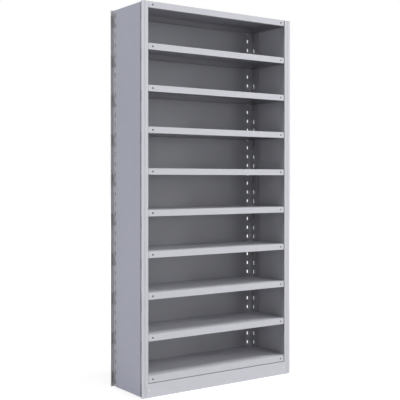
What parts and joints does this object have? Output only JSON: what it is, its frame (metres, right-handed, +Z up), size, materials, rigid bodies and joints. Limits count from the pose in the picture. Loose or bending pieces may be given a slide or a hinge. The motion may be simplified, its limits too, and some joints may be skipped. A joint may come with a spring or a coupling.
{
  "type": "library shelving bay",
  "caption": "Closed steel library shelving bay: slotted T posts carry box-edge shelves on clips, with side and back panels and a kick plate, open at the front.",
  "frame": {"origin": "centre of the footprint on the floor", "axes": "+X to the right along the shelves, +Y from the open front to the back panel, +Z up"},
  "size_m": [0.946, 0.309, 1.932],
  "materials": {
    "frame_paint": "light cool grey powder coat, satin",
    "panel_paint": "slightly darker, bluish grey powder coat, satin",
    "shelf_paint": "light cool grey powder coat, satin",
    "clip_zinc": "zinc plated, dull",
    "spacer_grey": "dark grey, matt"
  },
  "bodies": {
    "root": {"post_front_left": "frame_paint", "post_front_right": "frame_paint", "post_rear_left": "frame_paint", "post_rear_right": "frame_paint", "side_panel_left": "panel_paint", "side_panel_right": "panel_paint", "back_panel": "panel_paint", "base_shelf": "shelf_paint", "top_shelf": "shelf_paint", "base_strip": "frame_paint", "base_tab_left": "frame_paint", "base_tab_right": "frame_paint", "shelf_clips_front_left": "clip_zinc", "shelf_clips_front_right": "clip_zinc", "shelf_clips_rear_left": "clip_zinc", "shelf_clips_rear_right": "clip_zinc", "edge_spacers_front_left": "spacer_grey", "edge_spacers_front_right": "spacer_grey", "edge_spacers_rear_left": "spacer_grey", "edge_spacers_rear_right": "spacer_grey"},
    "shelf_1_body": {"shelf_1": "shelf_paint"},
    "shelf_2_body": {"shelf_2": "shelf_paint"},
    "shelf_3_body": {"shelf_3": "shelf_paint"},
    "shelf_4_body": {"shelf_4": "shelf_paint"},
    "shelf_5_body": {"shelf_5": "shelf_paint"},
    "shelf_6_body": {"shelf_6": "shelf_paint"},
    "shelf_7_body": {"shelf_7": "shelf_paint"},
    "shelf_8_body": {"shelf_8": "shelf_paint"}
  },
  "joints": [
    {"name": "shelf_1_lift", "type": "slide", "parent": "root", "child": "shelf_1_body", "axis": [0, 0, 1], "range_m": [0, 0.17]},
    {"name": "shelf_2_lift", "type": "slide", "parent": "root", "child": "shelf_2_body", "axis": [0, 0, 1], "range_m": [0, 0.17]},
    {"name": "shelf_3_lift", "type": "slide", "parent": "root", "child": "shelf_3_body", "axis": [0, 0, 1], "range_m": [0, 0.17]},
    {"name": "shelf_4_lift", "type": "slide", "parent": "root", "child": "shelf_4_body", "axis": [0, 0, 1], "range_m": [0, 0.17]},
    {"name": "shelf_5_lift", "type": "slide", "parent": "root", "child": "shelf_5_body", "axis": [0, 0, 1], "range_m": [0, 0.17]},
    {"name": "shelf_6_lift", "type": "slide", "parent": "root", "child": "shelf_6_body", "axis": [0, 0, 1], "range_m": [0, 0.17]},
    {"name": "shelf_7_lift", "type": "slide", "parent": "root", "child": "shelf_7_body", "axis": [0, 0, 1], "range_m": [0, 0.17]},
    {"name": "shelf_8_lift", "type": "slide", "parent": "root", "child": "shelf_8_body", "axis": [0, 0, 1], "range_m": [0, 0.17]}
  ]
}
